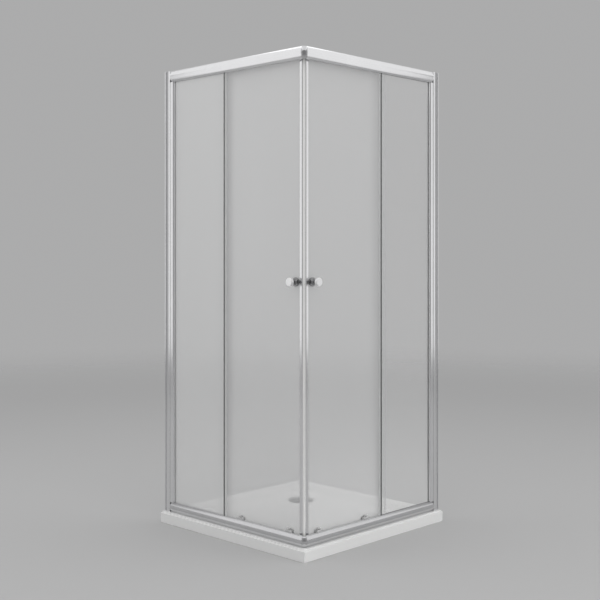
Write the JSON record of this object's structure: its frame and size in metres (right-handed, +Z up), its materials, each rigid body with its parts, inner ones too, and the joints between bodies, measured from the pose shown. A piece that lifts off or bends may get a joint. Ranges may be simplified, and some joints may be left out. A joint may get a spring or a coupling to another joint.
{
  "type": "shower cabin",
  "caption": "Square corner-entry shower cabin: low white tray with drain, chromed profiles, fixed glass panels beside the walls and sliding glass doors that meet at the corner.",
  "frame": {"origin": "centre of the tray's underside, on the floor", "axes": "+Z up; the walls stand at +X and +Y and the entry corner is at -X, -Y; the right side of the picture faces -Y and the left side faces -X"},
  "size_m": [0.9, 0.9, 2.03],
  "materials": {
    "tray": "white acrylic, satin gloss",
    "waste_plastic": "light grey moulded plastic",
    "rubber": "black rubber",
    "drain_chrome": "polished chrome",
    "fitting_chrome": "polished chrome",
    "profile_chrome": "bright anodised aluminium, polished",
    "screw_steel": "stainless steel",
    "glass": "clear toughened glass with a light grey haze",
    "clear_seal": "translucent soft plastic",
    "magnet": "white magnetic strip in soft plastic",
    "roller_plastic": "off-white acetal"
  },
  "bodies": {
    "frame": {"shower_tray": "tray", "drain_flange": "waste_plastic", "drain_gasket": "rubber", "drain_nut": "waste_plastic", "top_corner": "fitting_chrome", "bottom_corner": "fitting_chrome", "corner_screws": "screw_steel", "left_wall_profile": "profile_chrome", "left_frame_profile": "profile_chrome", "left_fixed_glass": "glass", "left_glazing_strips": "clear_seal", "left_edge_seal": "clear_seal", "left_top_rail": "profile_chrome", "left_bottom_rail": "profile_chrome", "left_profile_screws": "screw_steel", "left_rail_buffers": "rubber", "right_wall_profile": "profile_chrome", "right_frame_profile": "profile_chrome", "right_fixed_glass": "glass", "right_glazing_strips": "clear_seal", "right_edge_seal": "clear_seal", "right_top_rail": "profile_chrome", "right_bottom_rail": "profile_chrome", "right_profile_screws": "screw_steel", "right_rail_buffers": "rubber"},
    "drain_cover": {"drain_cover": "drain_chrome"},
    "left_door": {"left_door_glass": "glass", "left_door_stile": "profile_chrome", "left_magnet_strip": "magnet", "left_rear_seal": "clear_seal", "left_outer_knob": "fitting_chrome", "left_inner_knob": "fitting_chrome", "left_knob_washers": "clear_seal", "left_roller_carriages": "fitting_chrome", "left_carriage_pins": "screw_steel", "left_guide_blocks": "fitting_chrome", "left_guide_springs": "screw_steel"},
    "left_top_wheel_front": {"left_top_wheel_front": "roller_plastic"},
    "left_release_front": {"left_release_front": "fitting_chrome"},
    "left_guide_wheel_front": {"left_guide_wheel_front": "roller_plastic"},
    "left_top_wheel_back": {"left_top_wheel_back": "roller_plastic"},
    "left_release_back": {"left_release_back": "fitting_chrome"},
    "left_guide_wheel_back": {"left_guide_wheel_back": "roller_plastic"},
    "right_door": {"right_door_glass": "glass", "right_door_stile": "profile_chrome", "right_magnet_strip": "magnet", "right_rear_seal": "clear_seal", "right_outer_knob": "fitting_chrome", "right_inner_knob": "fitting_chrome", "right_knob_washers": "clear_seal", "right_roller_carriages": "fitting_chrome", "right_carriage_pins": "screw_steel", "right_guide_blocks": "fitting_chrome", "right_guide_springs": "screw_steel"},
    "right_top_wheel_front": {"right_top_wheel_front": "roller_plastic"},
    "right_release_front": {"right_release_front": "fitting_chrome"},
    "right_guide_wheel_front": {"right_guide_wheel_front": "roller_plastic"},
    "right_top_wheel_back": {"right_top_wheel_back": "roller_plastic"},
    "right_release_back": {"right_release_back": "fitting_chrome"},
    "right_guide_wheel_back": {"right_guide_wheel_back": "roller_plastic"}
  },
  "joints": [
    {"name": "drain_cover_lift", "type": "slide", "parent": "frame", "child": "drain_cover", "axis": [0, 0, 1], "range_m": [0, 0.06]},
    {"name": "left_door_slide", "type": "slide", "parent": "frame", "child": "left_door", "axis": [0, 1, 0], "range_m": [0, 0.29]},
    {"name": "left_top_wheel_front_spin", "type": "hinge", "parent": "left_door", "child": "left_top_wheel_front", "pos_m": [-0.4042, -0.318, 2.0103], "axis": [-1, 0, 0], "range_deg": [-8, 1963]},
    {"name": "left_release_front_press", "type": "slide", "parent": "left_door", "child": "left_release_front", "axis": [0, 0, -1], "range_m": [0, 0.005], "stiffness_N_per_m": 600, "springref_m": -0.004, "deforming": ["left_guide_springs"]},
    {"name": "left_guide_wheel_front_spin", "type": "hinge", "parent": "left_release_front", "child": "left_guide_wheel_front", "pos_m": [-0.4042, -0.318, 0.0677], "axis": [-1, 0, 0], "range_deg": [-1963, 8]},
    {"name": "left_top_wheel_back_spin", "type": "hinge", "parent": "left_door", "child": "left_top_wheel_back", "pos_m": [-0.4042, -0.03, 2.0103], "axis": [-1, 0, 0], "range_deg": [-8, 1963]},
    {"name": "left_release_back_press", "type": "slide", "parent": "left_door", "child": "left_release_back", "axis": [0, 0, -1], "range_m": [0, 0.005], "stiffness_N_per_m": 600, "springref_m": -0.004, "deforming": ["left_guide_springs"]},
    {"name": "left_guide_wheel_back_spin", "type": "hinge", "parent": "left_release_back", "child": "left_guide_wheel_back", "pos_m": [-0.4042, -0.03, 0.0677], "axis": [-1, 0, 0], "range_deg": [-1963, 8]},
    {"name": "right_door_slide", "type": "slide", "parent": "frame", "child": "right_door", "axis": [1, 0, 0], "range_m": [0, 0.29]},
    {"name": "right_top_wheel_front_spin", "type": "hinge", "parent": "right_door", "child": "right_top_wheel_front", "pos_m": [-0.318, -0.4042, 2.0103], "axis": [0, 1, 0], "range_deg": [-8, 1963]},
    {"name": "right_release_front_press", "type": "slide", "parent": "right_door", "child": "right_release_front", "axis": [0, 0, -1], "range_m": [0, 0.005], "stiffness_N_per_m": 600, "springref_m": -0.004, "deforming": ["right_guide_springs"]},
    {"name": "right_guide_wheel_front_spin", "type": "hinge", "parent": "right_release_front", "child": "right_guide_wheel_front", "pos_m": [-0.318, -0.4042, 0.0677], "axis": [0, 1, 0], "range_deg": [-1963, 8]},
    {"name": "right_top_wheel_back_spin", "type": "hinge", "parent": "right_door", "child": "right_top_wheel_back", "pos_m": [-0.03, -0.4042, 2.0103], "axis": [0, 1, 0], "range_deg": [-8, 1963]},
    {"name": "right_release_back_press", "type": "slide", "parent": "right_door", "child": "right_release_back", "axis": [0, 0, -1], "range_m": [0, 0.005], "stiffness_N_per_m": 600, "springref_m": -0.004, "deforming": ["right_guide_springs"]},
    {"name": "right_guide_wheel_back_spin", "type": "hinge", "parent": "right_release_back", "child": "right_guide_wheel_back", "pos_m": [-0.03, -0.4042, 0.0677], "axis": [0, 1, 0], "range_deg": [-1963, 8]}
  ],
  "couplings": [
    {"joint": "left_top_wheel_front_spin", "follows": "left_door_slide", "rad_per_m": 117.65},
    {"joint": "left_guide_wheel_front_spin", "follows": "left_door_slide", "rad_per_m": -117.65},
    {"joint": "left_top_wheel_back_spin", "follows": "left_door_slide", "rad_per_m": 117.65},
    {"joint": "left_guide_wheel_back_spin", "follows": "left_door_slide", "rad_per_m": -117.65},
    {"joint": "right_top_wheel_front_spin", "follows": "right_door_slide", "rad_per_m": 117.65},
    {"joint": "right_guide_wheel_front_spin", "follows": "right_door_slide", "rad_per_m": -117.65},
    {"joint": "right_top_wheel_back_spin", "follows": "right_door_slide", "rad_per_m": 117.65},
    {"joint": "right_guide_wheel_back_spin", "follows": "right_door_slide", "rad_per_m": -117.65}
  ]
}
